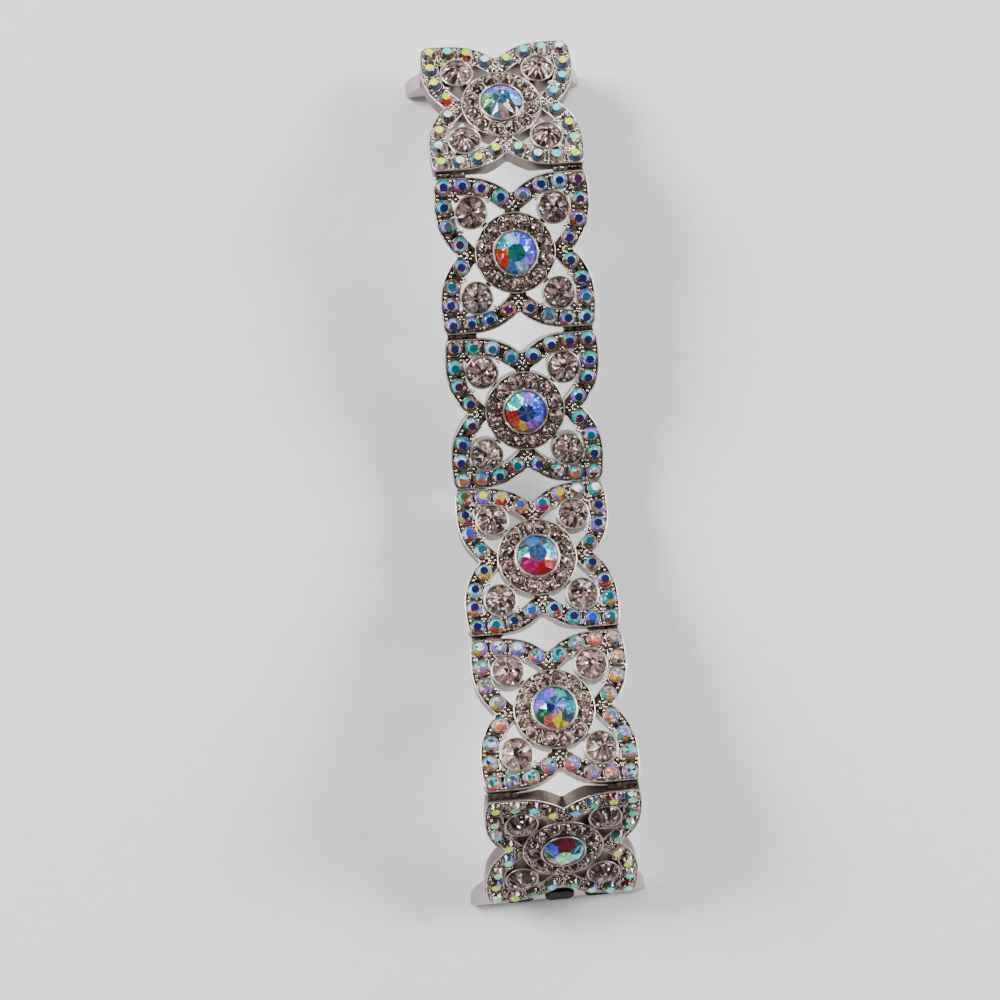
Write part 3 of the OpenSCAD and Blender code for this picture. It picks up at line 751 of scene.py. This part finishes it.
# %% Set the stones of every link
CUTS = {
    "border": {"folds": 8, "girdle": 0.19, "table": 0.58, "star": 0.79, "star_height": 0.66},
    "halo": {"folds": 8, "girdle": 0.19, "table": 0.42, "star": 0.72, "star_height": 0.72, "wedges": 2},
    "wing": {"folds": 12, "girdle": 0.18, "table": 0.3, "star": 0.66, "star_height": 0.8},
    "centre": {"folds": 10, "girdle": 0.2, "table": 0.44, "star": 0.74, "star_height": 0.72, "wedges": 2}}
WHEEL = {"border": aurora_wheel, "halo": halo_wheel, "wing": wing_wheel, "centre": centre_wheel}
GLASS = {"border": aurora, "halo": smoky_small, "wing": smoky_large, "centre": aurora_large}
PIECE_NAME = {"border": "border_crystals", "halo": "halo_crystals", "wing": "wing_crystals",
              "centre": "centre_crystal"}
FIRST_SEED = 100

cut = {}
for row, shape in CUTS.items():
    sample = seats[3, row][0]
    cut[row] = bpy.data.objects.new(
        f"cut_{row}", cut_stone(f"cut_{row}", radius=sample["radius"], height=sample["height"], **shape))
    scene_objects.link(cut[row])
    print(f"{row} stone: {2 * sample['radius'] / MM:.2f} mm, {len(cut[row].data.polygons)} faces")

for i in LINKS:
    draw = random.Random(FIRST_SEED + i)
    for row, node in STONES.items():
        places = [seat["at"] for seat in seats[i, row]]
        crystals = grow(f"link_{i}_{PIECE_NAME[row]}", point_mesh(f"{row}_seats_{i}", places), setting,
                        Stone=cut[row], Seed=i, Material=GLASS[row])
        uncoated = row in SMOKE_LIGHT
        paint_facets(crystals, i, places, WHEEL[row], STRAY[i] if row == "border" else 0,
                     SMOKE_LIGHT[row][i] if uncoated else 1, draw)
        crystals.data.transform(link_at[i])
        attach(crystals, f"link_{i}")
        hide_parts(f"link_{i}_{node}")
for stone in cut.values():
    bpy.data.objects.remove(stone)
print("crystals set:", sum(len(s) for s in seats.values()))

# %% [markdown]
# The casting's edges carry a thin polished rim: along the outline, round the openings and round every
# cup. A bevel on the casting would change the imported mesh, so the rim is a piece of its own: a tree picks
# the casting's sharp edges on the stone side, turns them into curves, and sweeps a small circle along them.

# %% Tree that runs a rim along sharp edges
RIM_SIDES = 6

rims, given = new_tree("rim_on_edges", Lowest="Float", Sharpest="Float", Wire="Float", Material="Material")
edge_angle = add(rims, "GeometryNodeInputMeshEdgeAngle")
sharp = add(rims, "FunctionNodeCompare", {0: edge_angle.outputs["Unsigned Angle"], 1: given["Sharpest"]},
            data_type="FLOAT", operation="GREATER_THAN")
height = add(rims, "ShaderNodeSeparateXYZ", {0: add(rims, "GeometryNodeInputPosition").outputs[0]})
above = add(rims, "FunctionNodeCompare", {0: height.outputs["Z"], 1: given["Lowest"]},
            data_type="FLOAT", operation="GREATER_THAN")
both = add(rims, "FunctionNodeBooleanMath", {0: sharp.outputs[0], 1: above.outputs[0]}, operation="AND")
lines = add(rims, "GeometryNodeMeshToCurve", {"Mesh": given["Geometry"], "Selection": both.outputs[0]})
share = add(rims, "GeometryNodeInputNamedAttribute", {"Name": "rim_share"}, data_type="FLOAT")
thick = add(rims, "GeometryNodeSetCurveRadius", {"Curve": lines.outputs["Curve"],
                                                 "Radius": share.outputs["Attribute"]})
section = add(rims, "GeometryNodeCurvePrimitiveCircle", {"Resolution": RIM_SIDES, "Radius": given["Wire"]})
swept = add(rims, "GeometryNodeCurveToMesh", {"Curve": thick.outputs["Curve"],
                                              "Profile Curve": section.outputs["Curve"],
                                              "Scale": share.outputs["Attribute"]})
smooth = add(rims, "GeometryNodeSetShadeSmooth", {"Geometry": swept.outputs["Mesh"]})
end_tree(rims, smooth.outputs["Geometry"], given["Material"])

# %% [markdown]
# Round the stones the metal is only a thread, pressed thin where it holds the glass. So each vertex of the
# casting says how much of the full width the rim has there, and the seats tell which vertices those are.
# The height keeps out the edges below the face, and the angle those between the flats of a round wall.

# %% Rims of every link
RIM_WIRE = 0.085 * MM
THREAD_SHARE = 0.45
SEAT_EDGE = (0.02 * MM, 0.1 * MM)
JUST_BELOW_FACE = -0.02 * MM
SHARP_ANGLE = math.radians(50)


def rim_share(point, i):
    """Full width, or a thread on the edge of a stone's seat."""
    for seat in (seat for row in STONES for seat in seats[i, row]):
        past_stone = (point.xy - seat["at"].xy).length - seat["radius"]
        if SEAT_EDGE[0] < past_stone < SEAT_EDGE[1]:
            return THREAD_SHARE
    return 1.0


for i in LINKS:
    bm = own_bmesh(f"link_{i}_frame", i)
    casting = bpy.data.meshes.new(f"casting_{i}")
    bm.to_mesh(casting)
    bm.free()
    shares = casting.attributes.new("rim_share", "FLOAT", "POINT")
    for vertex in casting.vertices:
        shares.data[vertex.index].value = rim_share(vertex.co, i)
    rim = grow(f"link_{i}_rims", casting, rims, Lowest=JUST_BELOW_FACE, Sharpest=SHARP_ANGLE,
               Wire=RIM_WIRE, Material=rubbed)
    rim.data.transform(link_at[i])
    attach(rim, f"link_{i}")
    print(f"link {i} rims: {len(rim.data.polygons)} faces")

# %% [markdown]
# Small cast beads hold the stones, and a setter pushes each over its stone by hand, so they differ in
# size. A particle system could scatter them, but beads have their places, so the tree takes points and
# only draws each bead's size. A bead is about three pixels wide in the picture, so few faces are enough.

# %% Tree that sets beads
BEAD_SEGMENTS = 8
BEAD_RINGS = 5

beading, given = new_tree("set_beads", Radius="Float", Spread="Float", Seed="Int", Material="Material")
bead = add(beading, "GeometryNodeMeshUVSphere", {"Segments": BEAD_SEGMENTS, "Rings": BEAD_RINGS,
                                                 "Radius": given["Radius"]})
smooth = add(beading, "GeometryNodeSetShadeSmooth", {"Geometry": bead.outputs["Mesh"]})
least = add(beading, "ShaderNodeMath", {0: 1.0, 1: given["Spread"]}, operation="SUBTRACT")
most = add(beading, "ShaderNodeMath", {0: 1.0, 1: given["Spread"]}, operation="ADD")
size = add(beading, "FunctionNodeRandomValue", {2: least.outputs[0], 3: most.outputs[0],
                                                "Seed": given["Seed"]}, data_type="FLOAT")
placed = add(beading, "GeometryNodeInstanceOnPoints",
             {"Points": given["Geometry"], "Instance": smooth.outputs["Geometry"],
              "Scale": size.outputs[1]})
end_tree(beading, placed.outputs["Instances"], given["Material"])

# %% [markdown]
# The beads fill what the stones leave: two pairs between neighbours along the border, two rings of them in
# the halo, a cluster on each bridge at the notches and two on each spoke. Ball prongs on short necks also
# reach from the border into the openings. Those between stones follow from the seats. The others have no
# seat to follow, so they are given once, in millimetres, and mirrored into the other wings.

# %% Where the beads sit
BEAD_R = 0.22 * MM
BEAD_OUT = 0.8 * MM
BEAD_APART = 0.26 * MM
NOTCH_SPAN = 2.9 * MM
FACE_BEAD_Z = 0.05 * MM
RING_BEAD_Z = 0.22 * MM
BRIDGE_BEADS = [(0, 5.75), (-0.42, 6.08), (0.42, 6.08), (0, 6.45), (-0.78, 6.5), (0.78, 6.5), (-0.36, 6.85),
                (0.36, 6.85), (0, 7.25), (0, 7.68)]
SPOKE_BEADS = [(7.45, 7.55), (7.85, 8.05)]
BALL_PRONG = [(3.5, 7.45), (3.36, 7.16), (3.22, 6.88)]
HALO_BEAD_RINGS = (0.9, -0.88)
ALL_CORNERS = [(1, 1), (-1, 1), (-1, -1), (1, -1)]


def border_beads(i):
    """A pair of beads on each side of the row between neighbours, and only the inner one at a notch."""
    row = [seat["at"].xy for seat in seats[i, "border"]]
    found = []
    for a, b in zip(row, row[1:] + row[:1]):
        middle, along = (a + b) / 2, b - a
        out = Vector((along.y, -along.x)).normalized() * BEAD_OUT
        apart = along.normalized() * BEAD_APART
        for side in (-1,) if along.length > NOTCH_SPAN else (1, -1):
            found += [middle + side * out + apart, middle + side * out - apart]
    return [(p.x, p.y, FACE_BEAD_Z) for p in found]


def halo_beads(i):
    """Beads in the cusps outside and inside the ring of halo stones."""
    ring = [seat["at"].xy for seat in seats[i, "halo"]]
    found = []
    for a, b in zip(ring, ring[1:] + ring[:1]):
        middle = (a + b) / 2
        found += [middle + middle.normalized() * reach * MM for reach in HALO_BEAD_RINGS]
    return [(p.x, p.y, RING_BEAD_Z) for p in found]


def repeated_beads():
    """The bridges' clusters, the spokes' pairs and the ball prongs, which every wing repeats."""
    found = [(sx * x, sy * y) for x, y in SPOKE_BEADS for sx, sy in ALL_CORNERS]
    found += [(sx * a, sy * b) for x, y in BALL_PRONG for a, b in ((x, y), (y, x))
              for sx, sy in ALL_CORNERS]
    found += [p for x, y in BRIDGE_BEADS for p in ((x, y), (x, -y), (y, x), (-y, x))]
    return [(x * MM, y * MM, FACE_BEAD_Z) for x, y in found]


print("beads that every wing repeats:", len(repeated_beads()))

# %% [markdown]
# Every link takes the same tree with another seed, so no two links have the same beads. They stand proud,
# so they get the polished metal, which is brighter than the casting below them.

# %% Beads of every link
BEAD_SPREAD = 0.14

for i in LINKS:
    places = border_beads(i) + halo_beads(i) + repeated_beads()
    beads = grow(f"link_{i}_prong_beads", point_mesh(f"bead_places_{i}", places), beading,
                 Radius=BEAD_R, Spread=BEAD_SPREAD, Seed=i, Material=bright)
    beads.data.transform(link_at[i])
    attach(beads, f"link_{i}")
print("beads on a link:", len(places))

# %% [markdown]
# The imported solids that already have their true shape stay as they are, and only get their finish. Each
# could be named in a line of its own, but their names end or start alike, so six keys and the castings
# are enough.

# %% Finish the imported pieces
FINISHES = {f"link_{i}_frame": castings[i] for i in LINKS}
FINISHES.update({"hinge_pins": wire_steel, "_slider": satin, "_bar": wire_steel, "_latch": plastic,
                 "_latch_spring": wire_steel, "_pads": rubber})

for name, node in frame["nodes"].items():
    for key, material in FINISHES.items():
        if name.endswith(key) or name.startswith(key):
            for slot in node.material_slots:
                slot.material = material
print("finished:", len(frame["nodes"]), "packed pieces")

# %% [markdown]
# The stage is a plain pale sheet, and the light is soft: a large lamp high on the left, a weaker one on the
# right, which draws the edges of the castings, and a faint one beyond the top of the band. A single dome
# of light would be softer still, but facets and prongs need lamps to mirror, or they look like plaster.

# %% Stage and light
FLOOR_SIZE = 4.0
FIBRE = 2.5 * MM
ROOM_LIGHT = 0.3

paper, tree, shader = new_material("pale_paper", roughness=0.85)
place = add(tree, "ShaderNodeTexCoord").outputs["Object"]
fibre = add(tree, "ShaderNodeTexNoise", {"Vector": place, "Scale": 1 / FIBRE, "Detail": 4.0})
tone = add(tree, "ShaderNodeMix", {0: fibre.outputs["Fac"], 6: linear("#EAEAEE"), 7: linear("#F4F4F8")},
           data_type="RGBA")
tree.links.new(tone.outputs[2], shader.inputs["Base Color"])
floor_mesh = bpy.data.meshes.new("floor")
half = FLOOR_SIZE / 2
floor_level = cad_box[0].z
floor_mesh.from_pydata([(-half, -half, floor_level), (half, -half, floor_level), (half, half, floor_level),
                        (-half, half, floor_level)], [], [(0, 1, 2, 3)])
floor_mesh.materials.append(paper)
floor = bpy.data.objects.new("floor", floor_mesh)
scene_objects.link(floor)

band_middle = (cad_box[0] + cad_box[1]) / 2


def soft_lamp(name, place, size, power):
    """A square lamp that faces the middle of the band."""
    data = bpy.data.lights.new(name, "AREA")
    data.size = size
    data.energy = power
    lamp = bpy.data.objects.new(name, data)
    scene_objects.link(lamp)
    lamp.location = band_middle + Vector(place)
    lamp.rotation_euler = (-Vector(place)).to_track_quat("-Z", "Y").to_euler()


soft_lamp("key_lamp", place=(-0.5, 0.3, 0.4), size=0.3, power=9)
soft_lamp("right_lamp", place=(0.55, 0.1, 0.35), size=0.25, power=6)
soft_lamp("top_lamp", place=(0.35, 0.6, 0.3), size=0.25, power=2)

world = bpy.data.worlds.new("soft_room")
bpy.context.scene.world = world
world.use_nodes = True
room = world.node_tree.nodes["Background"]
room.inputs["Color"].default_value = linear("#DEDCDA")
room.inputs["Strength"].default_value = ROOM_LIGHT
print("lamps:", [light.name for light in bpy.data.lights])
